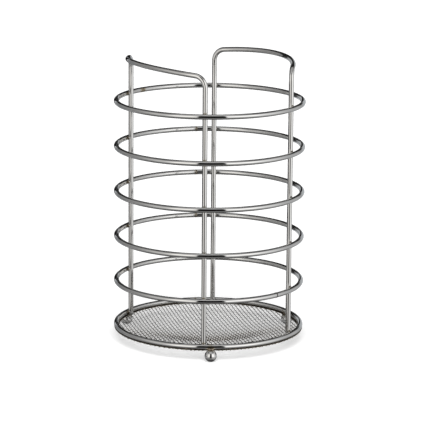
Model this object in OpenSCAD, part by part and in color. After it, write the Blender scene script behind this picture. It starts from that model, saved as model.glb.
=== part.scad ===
// Round utensil holder of bent and welded steel wire, open at its top and sides.
// Five hoops and a base ring go round two wire arches, whose legs are welded to the inside of
// every ring. A woven wire floor is welded under the base ring, and three balls are the feet.
// Lengths are in millimetres and angles in degrees. +Z is up, the origin is on the holder's axis
// at the level of the table, and the front foot stands towards -Y.

/* [Holder] */
// Height from the table to the top of the arches
holder_h = 225; // [190:1:300]
// Diameter over the outside of the hoops
holder_d = 150; // [120:1:200]

/* [Wire] */
// Diameter of the wire of the hoops, the base ring and the arches
wire_d = 4; // [3:0.1:5]

/* [Arches] */
// Height of the middle of a top bar above the top hoop, between their centre lines
arch_rise = 32.8; // [20:0.1:45]
// Angle between the two legs of one arch, seen from the axis
arch_span = 112; // [95:1:130]
// Direction in which the middle of the right arch lies, anticlockwise from +X
arch_turn = 29.5; // [0:0.5:60]
// Centre line radius of the bend at the top of each leg
bend_r = 9; // [5:0.1:10]
// Distance by which the middle of a top bar lies inside the circle through the legs
bar_inset = 7.5; // [2:0.1:12]
// Angle at which a top bar climbs from each bend, towards its middle
bar_climb = 5.2; // [0:0.1:8]
// Length of a leg below the centre line of the base ring
leg_tail = 1.5; // [0:0.1:1.5]

/* [Feet] */
// Diameter of the balls
foot_d = 9.5; // [8:0.1:14]
// Depth of the small flat that each ball stands on
foot_flat = 0.25; // [0.1:0.01:0.5]
// Distance by which the middle of a ball lies outside the centre line of the base ring
foot_out = 2; // [0:0.1:2.4]

/* [Floor] */
// Thickness of the woven floor
mesh_t = 0.8; // [0.5:0.1:1.2]
// Distance by which the floor's cut edge lies inside the outside of the base ring
mesh_trim = 0.2; // [0:0.05:1]
// Width of the flat rim of the floor, under the base ring
rim_w = 8; // [6:0.1:12]
// Width of the slope from the rim down to the middle of the floor
slope_w = 32; // [6:0.1:40]
// Depth of the middle of the floor below its rim
dish_depth = 4; // [1:0.1:5]
// Distance from one strand of the floor to the next
strand_pitch = 7; // [7:0.1:12]
// Width of a strand
strand_w = 1.6; // [1:0.1:3]
// Turn of the strands about the axis, anticlockwise
strand_turn = 13; // [0:1:45]

/* [Welds] */
// Gap between two wires that cross, which their weld fills
weld_gap = 0.05; // [0.02:0.01:0.1]
// Diameter of a weld between a leg and a ring
leg_weld_d = 2.4; // [1.6:0.1:2.8]
// Width along the base ring of a weld between a foot and that ring
foot_weld_d = 6.4; // [5:0.1:7]
// Width of that weld where it starts, at the top of the ball
foot_weld_neck = 4; // [3:0.1:4.4]
// Thickness of that weld, across the base ring
foot_weld_t = 3.8; // [3:0.1:4]
// Depth below the top of the ball at which that weld starts
foot_weld_drop = 0.7; // [0.5:0.1:1]
// Height to which that weld climbs beside the base ring
foot_weld_rise = 0.9; // [0.5:0.1:1.4]
// Diameter of a weld between the floor and the base ring
mesh_weld_d = 2; // [1:0.1:2.8]
// Number of welds between the floor and the base ring
mesh_welds_n = 12; // [6:3:24]
// Length along the wire of the weld that closes a ring
butt_weld_l = 0.8; // [0.5:0.1:2]
// Height by which that weld stands out of the wire
butt_weld_out = 0.12; // [0.05:0.01:0.3]

/* [Hidden] */

// Roundness of the curved surfaces
$fn = 72;
// Sides of the bent wire of an arch, steps along one of its bends, and steps along its top bar
arch_sides = 24;
bend_steps = 8;
bar_steps = 20;

// Colours of the polished wire, the floor, the balls and the welds
wire_colour = "#a9aaa8";
mesh_colour = "#b9b8b4";
foot_colour = "#9c9c9c";
weld_colour = "#7d7468";

// Circle of the centre lines of the rings, and circle of the legs inside them
wire_r = wire_d / 2;
hoop_r = holder_d / 2 - wire_r;
leg_r = hoop_r - wire_d - weld_gap;

// Place of the balls, which lean against the base ring from below and outside, and the heights
// of the base ring, the top bars and the hoops
hoops_n = 5;
foot_z = foot_d / 2 - foot_flat;
foot_r = hoop_r + foot_out;
foot_reach = foot_d / 2 + weld_gap + wire_r;
foot_lean = asin(foot_out / foot_reach);
ring_z = foot_z + foot_reach * cos(foot_lean);
bar_z = holder_h - wire_r;
hoop_pitch = (bar_z - arch_rise - ring_z) / hoops_n;

// Directions of the feet (front, left, right) and of the legs (right, back, left, front)
foot_turns = [270, 150, 30];
leg_turns = [for (turn = [arch_turn, arch_turn + 180]) each [turn - arch_span / 2, turn + arch_span / 2]];

// Direction of the weld that closes each ring, from the base ring up
butt_turns = [97, 314, 97, 97, 97, 137];
butt_weld_angle = butt_weld_l / hoop_r * 180 / PI;

// An arch in plan, with its middle on +X: its legs, its bow, and the arc of its top bar
leg_x = leg_r * cos(arch_span / 2);
leg_y = leg_r * sin(arch_span / 2);
leg_bottom_z = ring_z - leg_tail;
bar_bow = leg_r - leg_x - bar_inset;
bend_run = bend_r * (1 - sin(bar_climb));
bar_half_turn = 2 * atan(bar_bow / (leg_y + bend_run));
bar_r = (leg_y - bend_run * cos(bar_half_turn)) / sin(bar_half_turn);
bar_centre_x = leg_x + bend_run * sin(bar_half_turn) - bar_r * cos(bar_half_turn);

// Height of the middle of a top bar above its ends, and height at which the bends begin
bar_crown = tan(bar_climb) * bar_r * bar_half_turn * PI / 360;
bend_z = bar_z - bar_crown - bend_r * cos(bar_climb);

// The floor: its levels, the radii of its rim, its slope and its net, and the notches at the feet
rim_top_z = ring_z - wire_r - weld_gap;
floor_top_z = rim_top_z - dish_depth;
mesh_r = holder_d / 2 - mesh_trim;
lip_r = mesh_r - rim_w;
floor_r = lip_r - slope_w;
notch_clearance = 0.4;
notch_r = notch_clearance
    + max(foot_weld_d / 2, sqrt(pow(foot_d / 2, 2) - pow(rim_top_z - mesh_t - foot_z, 2)));
cut_overrun = 1;

// One wire ring at height z, closed by a butt weld that lies in the direction of turn
module wire_ring(z, turn) {
    color(wire_colour)
        translate([0, 0, z])
            rotate([0, 0, turn + butt_weld_angle / 2])
                rotate_extrude(angle = 360 - butt_weld_angle, $fn = 180)
                    translate([hoop_r, 0])
                        circle(d = wire_d);
}

// The whole ring with no gap, which cuts a weld that lies in the direction of turn to the wire's
// own surface. Its roundness is fine because a weld is thin.
module ring_cutter(z, turn) {
    rotate([0, 0, turn])
        translate([0, 0, z])
            rotate_extrude($fn = 360)
                translate([hoop_r, 0])
                    circle(d = wire_d, $fn = 144);
}

// Height of a ring: 0 is the base ring, 1 the lowest hoop and hoops_n the top one
function ring_height(i) = ring_z + i * hoop_pitch;

// Stations along the centre line of an arch, each [x, y, z, heading in plan, climb].
// The wire climbs one leg, turns over the first bend, runs round the crowned top bar and comes down.
function bend_station(side, swing) =
    let (heading = 90 + side * bar_half_turn, run = bend_r * (1 - cos(swing)))
    [leg_x + run * sin(bar_half_turn), side * (leg_y - run * cos(bar_half_turn)),
        bend_z + bend_r * sin(swing), heading, side * (swing - 90)];
function bar_station(turn) =
    let (share = turn / bar_half_turn)
    [bar_centre_x + bar_r * cos(turn), bar_r * sin(turn), bar_z - bar_crown * pow(share, 2),
        90 + turn, -atan(tan(bar_climb) * share)];
function leg_station(side) =
    [leg_x, side * leg_y, leg_bottom_z, 90 + side * bar_half_turn, -side * 90];
arch_stations = concat(
    [leg_station(-1)],
    [for (i = [0 : bend_steps]) bend_station(-1, (90 - bar_climb) * i / bend_steps)],
    [for (i = [1 : bar_steps - 1]) bar_station(bar_half_turn * (2 * i / bar_steps - 1))],
    [for (i = [bend_steps : -1 : 0]) bend_station(1, (90 - bar_climb) * i / bend_steps)],
    [leg_station(1)]);

// The round of points about one station, square to the wire there
function wire_round(s) =
    let (side = [-sin(s[3]), cos(s[3]), 0],
        over = [-sin(s[4]) * cos(s[3]), -sin(s[4]) * sin(s[3]), cos(s[4])])
    [for (k = [0 : arch_sides - 1])
        let (a = 360 * k / arch_sides)
        [s[0], s[1], s[2]] + wire_r * (cos(a) * side + sin(a) * over)];

// One bent wire: two legs, two bends and a bowed and crowned top bar
module wire_arch(turn) {
    last = len(arch_stations) - 1;
    points = [for (s = arch_stations) each wire_round(s)];
    skin = [for (i = [0 : last - 1], k = [0 : arch_sides - 1])
        let (a = i * arch_sides + k, b = i * arch_sides + (k + 1) % arch_sides)
        each [[a, b, b + arch_sides], [a, b + arch_sides, a + arch_sides]]];
    start_cap = [for (k = [1 : arch_sides - 2]) [0, k + 1, k]];
    end = last * arch_sides;
    end_cap = [for (k = [1 : arch_sides - 2]) [end, end + k, end + k + 1]];
    color(wire_colour)
        rotate([0, 0, turn])
            polyhedron(points = points, faces = concat(skin, start_cap, end_cap), convexity = 4);
}

// The woven floor: a flat rim under the base ring, a shallow dish, and square gaps between strands
module mesh_floor() {
    color(mesh_colour)
        difference() {
            rotate_extrude($fn = 180)
                polygon([[0, floor_top_z], [floor_r, floor_top_z], [lip_r, rim_top_z],
                    [mesh_r, rim_top_z], [mesh_r, rim_top_z - mesh_t], [lip_r, rim_top_z - mesh_t],
                    [floor_r, floor_top_z - mesh_t], [0, floor_top_z - mesh_t]]);
            translate([0, 0, floor_top_z - mesh_t - cut_overrun])
                linear_extrude(dish_depth + mesh_t + 2 * cut_overrun)
                    floor_gaps();
            for (turn = foot_turns)
                rotate([0, 0, turn])
                    translate([foot_r, 0, rim_top_z - mesh_t - cut_overrun])
                        cylinder(h = mesh_t + 2 * cut_overrun, r = notch_r);
        }
}

// The gaps in plan: those whose middle is inside the rim, cut off at the rim
module floor_gaps() {
    reach = ceil(lip_r / strand_pitch);
    intersection() {
        circle(r = lip_r, $fn = 180);
        rotate([0, 0, strand_turn])
            for (i = [-reach : reach - 1], j = [-reach : reach - 1])
                let (x = (i + 1 / 2) * strand_pitch, y = (j + 1 / 2) * strand_pitch)
                    if (norm([x, y]) < lip_r)
                        translate([x, y])
                            square(strand_pitch - strand_w, center = true);
    }
}

// One ball, with the flat that it stands on
module foot(turn) {
    color(foot_colour)
        rotate([0, 0, turn])
            translate([foot_r, 0, 0])
                difference() {
                    translate([0, 0, foot_z])
                        sphere(d = foot_d);
                    translate([-foot_d / 2, -foot_d / 2, -foot_d])
                        cube(foot_d);
                }
}

// The welds of ring i: one to each leg, cut to the surfaces of the two wires that it joins, and
// the one that closes the ring, across the wire's two ends. Under the base ring that one is
// ground flat where the rim of the floor lies.
module ring_welds(i) {
    color(weld_colour)
        translate([0, 0, ring_height(i)]) {
            for (turn = leg_turns)
                difference() {
                    rotate([0, 0, turn])
                        translate([leg_r, 0, 0])
                            rotate([0, 90, 0])
                                cylinder(h = hoop_r - leg_r, d = leg_weld_d);
                    rotate([0, 0, turn])
                        translate([leg_r, 0, -leg_weld_d])
                            cylinder(h = 2 * leg_weld_d, d = wire_d, $fn = 144);
                    ring_cutter(0, turn);
                }
            difference() {
                rotate([0, 0, butt_turns[i] - butt_weld_angle / 2])
                    rotate_extrude(angle = butt_weld_angle, $fn = 180)
                        translate([hoop_r, 0])
                            circle(r = wire_r + butt_weld_out);
                translate([0, 0, rim_top_z - ring_height(i) - wire_d])
                    cylinder(h = wire_d, d = holder_d + wire_d);
            }
        }
}

// The welds between the balls and the base ring, each along the line from the middle of a ball to
// the nearest point of the ring's centre line, widening from the ball to the ring
module foot_welds() {
    weld_start = foot_d / 2 - foot_weld_drop;
    weld_end = foot_d / 2 + weld_gap + foot_weld_rise;
    color(weld_colour)
        for (turn = foot_turns)
            difference() {
                rotate([0, 0, turn])
                    translate([foot_r, 0, foot_z])
                        rotate([0, -foot_lean, 0])
                            intersection() {
                                translate([0, 0, weld_start])
                                    cylinder(h = weld_end - weld_start, d1 = foot_weld_neck,
                                        d2 = foot_weld_d);
                                translate([-foot_weld_t / 2, -foot_weld_d, 0])
                                    cube([foot_weld_t, 2 * foot_weld_d, weld_end + cut_overrun]);
                            }
                rotate([0, 0, turn])
                    translate([foot_r, 0, foot_z])
                        sphere(d = foot_d, $fn = 144);
                ring_cutter(ring_z, turn);
            }
}

// The welds between the rim of the floor and the underside of the base ring, clear of the feet
module mesh_welds() {
    color(weld_colour)
        for (k = [0 : mesh_welds_n - 1])
            let (turn = foot_turns[0] + (k + 1 / 2) * 360 / mesh_welds_n)
                difference() {
                    rotate([0, 0, turn])
                        translate([hoop_r, 0, rim_top_z])
                            cylinder(h = ring_z - rim_top_z, d = mesh_weld_d);
                    ring_cutter(ring_z, turn);
                }
}

wire_ring(ring_height(1), butt_turns[1]);  // hoop_1
wire_ring(ring_height(2), butt_turns[2]);  // hoop_2
wire_ring(ring_height(3), butt_turns[3]);  // hoop_3
wire_ring(ring_height(4), butt_turns[4]);  // hoop_4
wire_ring(ring_height(5), butt_turns[5]);  // hoop_5
wire_ring(ring_height(0), butt_turns[0]);  // base_ring
wire_arch(arch_turn + 180);  // left_arch
wire_arch(arch_turn);  // right_arch
mesh_floor();
foot(foot_turns[0]);  // foot_front
foot(foot_turns[1]);  // foot_left
foot(foot_turns[2]);  // foot_right
ring_welds(1);  // hoop_1_welds
ring_welds(2);  // hoop_2_welds
ring_welds(3);  // hoop_3_welds
ring_welds(4);  // hoop_4_welds
ring_welds(5);  // hoop_5_welds
ring_welds(0);  // base_ring_welds
foot_welds();
mesh_welds();
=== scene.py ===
"""Looks of the round utensil holder: polished wire rings and arches, a woven wire floor, three
ball feet and the welds that join them, in a plain pale studio. Lengths are in metres."""
import logging
from dataclasses import dataclass, field
from enum import Enum

import bpy
import numpy as np
from mathutils import Matrix


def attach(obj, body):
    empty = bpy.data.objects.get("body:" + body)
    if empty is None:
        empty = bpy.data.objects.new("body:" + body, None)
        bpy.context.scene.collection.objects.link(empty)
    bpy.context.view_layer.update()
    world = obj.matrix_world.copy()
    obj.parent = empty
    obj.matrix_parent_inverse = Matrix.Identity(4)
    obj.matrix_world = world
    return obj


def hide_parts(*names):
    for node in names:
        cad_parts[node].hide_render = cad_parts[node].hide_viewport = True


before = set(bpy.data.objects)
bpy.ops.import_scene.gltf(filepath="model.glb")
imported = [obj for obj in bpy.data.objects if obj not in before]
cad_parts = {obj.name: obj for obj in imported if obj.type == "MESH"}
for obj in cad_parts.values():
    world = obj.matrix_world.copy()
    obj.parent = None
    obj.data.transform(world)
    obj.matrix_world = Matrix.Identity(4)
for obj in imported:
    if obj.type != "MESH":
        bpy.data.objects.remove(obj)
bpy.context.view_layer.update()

Array = np.ndarray
Colour = tuple[float, float, float]
Socket = bpy.types.NodeSocket
UP = np.array([0.0, 0.0, 1.0])

log = logging.getLogger("holder")


class Slot(Enum):
    """Names of material slots, which the pieces here are not given."""

    RING_WIRE = "ring_wire"
    ARCH_WIRE = "arch_wire"
    FLOOR_MESH = "floor_mesh"
    FOOT_BALL = "foot_ball"
    WELD = "weld"


class Weave(Enum):
    """The two families of wires in the floor, by the side on which the first crossing passes."""

    WARP = 1
    WEFT = -1


# Surfaces


@dataclass
class Surface:
    """Points with quads and triangles, and what is stored on them.

    Args:
        points: (n, 3) places of the points.
        quads: (q, 4) corners of the quads.
        quad_uv: (q, 4, 2) places of those corners on the surface, in metres along and around.
        triangles: (t, 3) corners of the triangles.
    """

    points: Array
    quads: Array
    quad_uv: Array
    triangles: Array = field(default_factory=lambda: np.zeros((0, 3), int))

    def joined(self, other: "Surface") -> "Surface":
        """This surface and another as one.

        Args:
            other: the surface that is added.

        Returns:
            A surface with the points and faces of both.
        """
        shift = len(self.points)
        return Surface(
            np.concatenate([self.points, other.points]),
            np.concatenate([self.quads, other.quads + shift]),
            np.concatenate([self.quad_uv, other.quad_uv]),
            np.concatenate([self.triangles, other.triangles + shift]),
        )


def grid_quads(bodies: int, rounds: int, columns: int, close: bool) -> tuple[Array, Array]:
    """Quads of grids whose columns go round and meet.

    Corner order is (i, j), (i, j + 1), (i + 1, j + 1), (i + 1, j), so a face looks outwards where
    the rounds go anticlockwise seen from the last of them.

    Args:
        bodies: number of grids, one after the other.
        rounds: rounds of points in one grid.
        columns: points in one round.
        close: whether the last round joins the first.

    Returns:
        (bodies q, 4) corner numbers, and (q, 4, 2) the corners of one grid as (round, column).
    """
    i, j = np.meshgrid(np.arange(rounds if close else rounds - 1), np.arange(columns), indexing="ij")
    steps = np.array([[0, 0], [0, 1], [1, 1], [1, 0]])
    where = np.stack([i.ravel(), j.ravel()], -1)[:, None, :] + steps
    quads = (where[..., 0] % rounds) * columns + where[..., 1] % columns
    first = (np.arange(bodies) * rounds * columns)[:, None, None]
    return (quads + first).reshape(-1, 4), where


def caps(bodies: int, rounds: int, columns: int) -> Array:
    """Triangles from the first and the last round of each body to a point at each of its ends.

    Args:
        bodies: number of bodies, whose end points come in pairs after all the rounds.
        rounds: rounds of points in one body.
        columns: points in one round.

    Returns:
        (t, 3) corner numbers.
    """
    ends = bodies * rounds * columns + np.arange(2 * bodies).reshape(bodies, 2)
    first = (np.arange(bodies) * rounds * columns)[:, None]
    last = first + (rounds - 1) * columns
    k = np.arange(columns)
    ahead = (k + 1) % columns
    near = np.stack(np.broadcast_arrays(ends[:, :1], first + ahead, first + k), -1)
    far = np.stack(np.broadcast_arrays(ends[:, 1:], last + k, last + ahead), -1)
    return np.concatenate([near.reshape(-1, 3), far.reshape(-1, 3)])


def tubes(path: Array, side: Array, over: Array, radius: float, sides: int, close: bool) -> Surface:
    """Round wires along paths: point = path + radius (cos a side + sin a over), a from 0 to 2 pi.

    Args:
        path: (w, n, 3) centre lines of w wires.
        side: (w, n, 3) unit directions across each wire.
        over: (w, n, 3) unit directions across each wire, square to side.
        radius: radius of the wire.
        sides: points round the wire.
        close: whether each wire is a ring; if not, its ends are closed with flat caps.

    Returns:
        One surface of all the wires.
    """
    wires, stations = path.shape[:2]
    a = 2 * np.pi * np.arange(sides) / sides
    ring = np.cos(a)[:, None] * side[:, :, None, :] + np.sin(a)[:, None] * over[:, :, None, :]
    points = (path[:, :, None, :] + radius * ring).reshape(-1, 3)
    quads, where = grid_quads(wires, stations, sides, close)
    steps = np.linalg.norm(np.diff(path, axis=1, append=path[:, :1]), axis=-1)
    along = np.concatenate([np.zeros((wires, 1)), np.cumsum(steps, axis=1)], axis=1)
    around = np.broadcast_to(where[..., 1] * 2 * np.pi * radius / sides, (wires,) + where.shape[:2])
    uv = np.stack([along[:, where[..., 0]], around], -1).reshape(-1, 4, 2)
    if close:
        return Surface(points, quads, uv)
    points = np.concatenate([points, path[:, [0, -1]].reshape(-1, 3)])
    return Surface(points, quads, uv, caps(wires, stations, sides))


def globes(shape: Array, poles: Array) -> Surface:
    """Closed round bodies, each a grid of rounds between two poles.

    Args:
        shape: (b, r, c, 3) the rounds of b bodies, from the first pole to the second, each
            going anticlockwise seen from the second.
        poles: (b, 2, 3) the two poles of each.

    Returns:
        One surface of all the bodies.
    """
    size = shape.shape[:3]
    quads, where = grid_quads(*size, False)
    uv = np.broadcast_to(where * 1e-4, size[:1] + where.shape).reshape(-1, 4, 2)
    points = np.concatenate([shape.reshape(-1, 3), poles.reshape(-1, 3)])
    return Surface(points, quads, uv, caps(*size))


def angles(rounds: int, columns: int) -> tuple[Array, Array]:
    """Angles of a round body's points: u from pole to pole and v round it.

    Args:
        rounds: rounds of points between the poles.
        columns: points in one round.

    Returns:
        (rounds, 1) u from -pi / 2 to pi / 2 without its ends, and (columns,) v from 0 to 2 pi.
    """
    u = np.linspace(-np.pi / 2, np.pi / 2, rounds + 2)[1:-1, None]
    return u, 2 * np.pi * np.arange(columns) / columns


def ball(rounds: int, columns: int) -> tuple[Array, Array]:
    """A ball of radius 1: rounds (cos u cos v, cos u sin v, sin u), and its two poles.

    Args:
        rounds: rounds of points between the poles.
        columns: points in one round.

    Returns:
        (rounds, columns, 3) and (2, 3) places.
    """
    u, v = angles(rounds, columns)
    unit = np.stack([np.cos(u) * np.cos(v), np.cos(u) * np.sin(v), np.sin(u) + 0 * v], -1)
    return unit, np.array([-UP, UP])


def smooth_step(x: Array) -> Array:
    """3 t^2 - 2 t^3 of x held between 0 and 1."""
    t = np.clip(x, 0, 1)
    return t * t * (3 - 2 * t)


def heat_near(points: Array, centres: Array, reach: float) -> Array:
    """Heat left by welds: the greatest of exp(-(distance / reach)^2) over all of them.

    Args:
        points: (n, 3) places.
        centres: (w, 3) middles of the welds.
        reach: distance at which the heat has fallen to about a third.

    Returns:
        (n,) heat from 0 to 1.
    """
    gap = np.linalg.norm(points[:, None, :] - centres[None], axis=-1).min(axis=1)
    return np.exp(-((gap / reach) ** 2))


def make_mesh(name: str, surface: Surface, values: dict[str, Array]) -> bpy.types.Object:
    """A smooth object at the origin with the surface as its mesh.

    Args:
        name: name of the piece.
        surface: its points and faces.
        values: numbers to store on the points, by name.

    Returns:
        The new object, in the scene.
    """
    mesh = bpy.data.meshes.new(name)
    quads, triangles = surface.quads, surface.triangles
    corners = np.concatenate([quads.ravel(), triangles.ravel()]).astype(np.int32)
    sizes = np.concatenate([np.full(len(quads), 4), np.full(len(triangles), 3)])
    mesh.vertices.add(len(surface.points))
    mesh.vertices.foreach_set("co", surface.points.astype(np.float32).ravel())
    mesh.loops.add(len(corners))
    mesh.loops.foreach_set("vertex_index", corners)
    mesh.polygons.add(len(sizes))
    mesh.polygons.foreach_set("loop_start", (np.cumsum(sizes) - sizes).astype(np.int32))
    mesh.polygons.foreach_set("use_smooth", np.ones(len(sizes), bool))
    uv = np.concatenate([surface.quad_uv.reshape(-1, 2), np.zeros((triangles.size, 2))])
    mesh.update(calc_edges=True)
    mesh.uv_layers.new(name="along").data.foreach_set("uv", uv.astype(np.float32).ravel())
    for key, numbers in values.items():
        mesh.attributes.new(key, "FLOAT", "POINT").data.foreach_set("value", numbers.astype(np.float32))
    mesh.validate()
    made = bpy.data.objects.new(name, mesh)
    bpy.context.scene.collection.objects.link(made)
    return made


def dress(made: bpy.types.Object, material: bpy.types.Material, nodes: list[str]) -> None:
    """Gives a piece its material, puts it under the root body, and hides the solids that it stands for.

    Args:
        made: the piece.
        material: its finish.
        nodes: the solids that it stands for.
    """
    made.data.materials.append(material)
    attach(made, "root")
    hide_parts(*nodes)
    faces = sum(len(p.vertices) - 2 for p in made.data.polygons)
    log.info("%s: %d triangles", made.name, faces)


# Finishes


class Tree:
    """The node tree of a material or world, and short ways to add to it."""

    def __init__(self, owner: bpy.types.Material | bpy.types.World) -> None:
        """Turns the nodes on.

        Args:
            owner: the material or world.
        """
        owner.use_nodes = True
        self.nodes, self.links = owner.node_tree.nodes, owner.node_tree.links

    def add(self, kind: str, **settings: object) -> bpy.types.Node:
        """Adds a node and sets its properties, or its inputs where the name is one of them.

        Args:
            kind: Blender's name of the node type.
            settings: values by name, with spaces written as underscores.

        Returns:
            The node.
        """
        node = self.nodes.new(kind)
        for key, value in settings.items():
            name = key.replace("_", " ")
            if name in node.inputs:
                node.inputs[name].default_value = value
            else:
                setattr(node, key, value)
        return node

    def join(self, source: Socket, target: Socket) -> None:
        """Links one socket to another."""
        self.links.new(source, target)

    def maths(self, operation: str, first: object, second: object) -> Socket:
        """A Math node on two sockets or numbers.

        Args:
            operation: its operation.
            first: socket or number.
            second: socket or number.

        Returns:
            Its result.
        """
        node = self.add("ShaderNodeMath", operation=operation)
        for index, value in enumerate((first, second)):
            if isinstance(value, Socket):
                self.join(value, node.inputs[index])
            else:
                node.inputs[index].default_value = value
        return node.outputs[0]

    def noise(self, scale: float, detail: float, where: Socket) -> Socket:
        """Noise at a place.

        Args:
            scale: its fineness, in waves per unit of the place.
            detail: number of finer layers.
            where: socket that gives the place.

        Returns:
            The noise, from 0 to 1.
        """
        node = self.add("ShaderNodeTexNoise", Scale=scale, Detail=detail)
        self.join(where, node.inputs["Vector"])
        return node.outputs[0]

    def ramp(self, fraction: Socket, stops: list[tuple[float, Colour]]) -> Socket:
        """Colours by a number.

        Args:
            fraction: the number, from 0 to 1.
            stops: the colours and where they are.

        Returns:
            The colour.
        """
        node = self.add("ShaderNodeValToRGB")
        elements = node.color_ramp.elements
        while len(elements) < len(stops):
            elements.new(1.0)
        for element, (place, colour) in zip(elements, stops):
            element.position, element.color = place, (*colour, 1)
        self.join(fraction, node.inputs[0])
        return node.outputs[0]

    def stored(self, name: str) -> Socket:
        """The number stored on the points under a name."""
        return self.add("ShaderNodeAttribute", attribute_name=name).outputs["Fac"]

    def seen_directly(self) -> Socket:
        """1 for what the camera sees, directly or in metal and glass, and 0 for light that spreads.

        Returns:
            The socket with the number.
        """
        path = self.add("ShaderNodeLightPath").outputs
        metal = self.maths("MAXIMUM", path["Is Camera Ray"], path["Is Glossy Ray"])
        return self.maths("MAXIMUM", metal, path["Is Transmission Ray"])

    def show(self, shader: bpy.types.Node) -> None:
        """Makes a shader the look of the surface."""
        self.join(shader.outputs[0], self.nodes["Material Output"].inputs["Surface"])


class Shader(Tree):
    """A new metal: a Principled shader, and short ways to add to it."""

    def __init__(self, name: str) -> None:
        """Starts the material.

        Args:
            name: name of the material.
        """
        self.material = bpy.data.materials.new(name)
        super().__init__(self.material)
        self.main = self.nodes["Principled BSDF"]
        self.main.inputs["Metallic"].default_value = 1.0

    def place(self) -> Socket:
        """The place on the object."""
        return self.add("ShaderNodeTexCoord").outputs["Object"]

    def lines(self, along: float, around: float, detail: float) -> Socket:
        """Fine lines along a wire: noise on its own map, drawn out.

        Args:
            along: waves of the noise per metre along the wire.
            around: waves per metre round it.
            detail: number of finer layers.

        Returns:
            The noise, from 0 to 1.
        """
        stretch = self.add("ShaderNodeMapping", Scale=(along, around, 1))
        self.join(self.add("ShaderNodeUVMap", uv_map="along").outputs[0], stretch.inputs["Vector"])
        return self.noise(1.0, detail, stretch.outputs[0])

    def heat(self, cloud: Socket, share: float, least: float) -> Socket:
        """The stored heat, which on the floor also holds painted shade, x (share x cloud + least).

        Args:
            cloud: noise that makes it uneven.
            share: how much the noise counts.
            least: what counts where the noise is 0.

        Returns:
            The uneven heat, with the floor's painted shade.
        """
        uneven = self.maths("ADD", self.maths("MULTIPLY", cloud, share), least)
        return self.maths("MULTIPLY", self.stored("heat_and_painted_shade"), uneven)

    def colour(self, tint: Socket, light: Socket) -> None:
        """Gives the surface the product of two colours.

        Args:
            tint: the one.
            light: the other.
        """
        shade = self.add("ShaderNodeMix", data_type="RGBA", blend_type="MULTIPLY")
        shade.inputs["Factor"].default_value = 1.0
        self.join(tint, shade.inputs["A"])
        self.join(light, shade.inputs["B"])
        self.join(shade.outputs["Result"], self.main.inputs["Base Color"])

    def bump(self, height: Socket, strength: float, distance: float) -> None:
        """Bumps the surface.

        Args:
            height: the height, from 0 to 1.
            strength: share of the bump that is used.
            distance: depth in metres.
        """
        node = self.add("ShaderNodeBump", Strength=strength, Distance=distance)
        self.join(height, node.inputs["Height"])
        self.join(node.outputs[0], self.main.inputs["Normal"])


@dataclass(frozen=True)
class PolishedSteel:
    """Bright polished wire or ball, with a brown heat tint where welds were made.

    Args:
        name: name of the material.
        colour: the colour of the clean metal.
        roughness: its dullness.
        line_depth: depth of the fine lines left by drawing and polishing.
        browns: the colours that the heat turns it to, and how hot each one is.
    """

    name: str
    colour: Colour = (0.73, 0.725, 0.715)
    roughness: float = 0.05
    line_depth: float = 1.5e-6
    browns: tuple[tuple[float, Colour], ...] = (
        (0.45, (0.55, 0.50, 0.40)),
        (0.7, (0.30, 0.235, 0.16)),
        (1.0, (0.14, 0.105, 0.08)),
    )

    def material(self) -> bpy.types.Material:
        """The material: lines run along the wire, and the tint follows the stored heat.

        The lines change the dullness by 0.02 either way, and the heat adds up to 0.22.

        Returns:
            A new material.
        """
        s = Shader(self.name)
        lines = s.lines(along=90, around=9000, detail=3.0)
        heat = s.heat(s.noise(scale=420.0, detail=3.0, where=s.place()), share=0.7, least=0.62)
        tint = s.ramp(heat, [(0.0, self.colour), (0.22, self.colour), *self.browns])
        s.colour(tint, s.ramp(lines, [(0.3, (0.93, 0.93, 0.93)), (0.7, (1.0, 1.0, 1.0))]))
        dull = s.maths("ADD", s.maths("MULTIPLY", lines, 0.04), self.roughness - 0.02)
        s.join(s.maths("ADD", dull, s.maths("MULTIPLY", heat, 0.22)), s.main.inputs["Roughness"])
        s.bump(lines, strength=0.5, distance=self.line_depth)
        return s.material


@dataclass(frozen=True)
class WovenSteel:
    """Drawn wire of the floor, a little dull, browned where it was heated, and darkened by painted shade over
    the front of the floor.

    Args:
        name: name of the material.
        colour: the colour of the clean wire.
        roughness: its dullness.
        browns: the share of that colour that is left, by the heat and by the painted shade that the same
            number holds.
    """

    name: str
    colour: Colour = (0.74, 0.73, 0.72)
    roughness: float = 0.2
    browns: tuple[tuple[float, Colour], ...] = (
        (0.0, (1.0, 1.0, 1.0)),
        (0.25, (0.88, 0.86, 0.82)),
        (0.6, (0.37, 0.315, 0.24)),
        (1.0, (0.17, 0.13, 0.09)),
    )

    def material(self) -> bpy.types.Material:
        """The material: cloudy patches over the floor, and fine lines along each wire.

        Returns:
            A new material.
        """
        s = Shader(self.name)
        lines = s.lines(along=200, around=12000, detail=2.0)
        cloud = s.noise(scale=60.0, detail=4.0, where=s.place())
        stops = [(heat, tuple(a * b for a, b in zip(self.colour, share))) for heat, share in self.browns]
        light = s.ramp(cloud, [(0.3, (0.86, 0.86, 0.85)), (0.7, (1.0, 1.0, 1.0))])
        # the stored number holds weld heat and painted shade, and both darken the colour here
        s.colour(s.ramp(s.heat(cloud, share=1.0, least=0.5), stops), light)
        s.join(s.maths("ADD", s.maths("MULTIPLY", lines, 0.12), self.roughness), s.main.inputs["Roughness"])
        s.bump(lines, strength=0.4, distance=8e-6)
        return s.material


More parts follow.
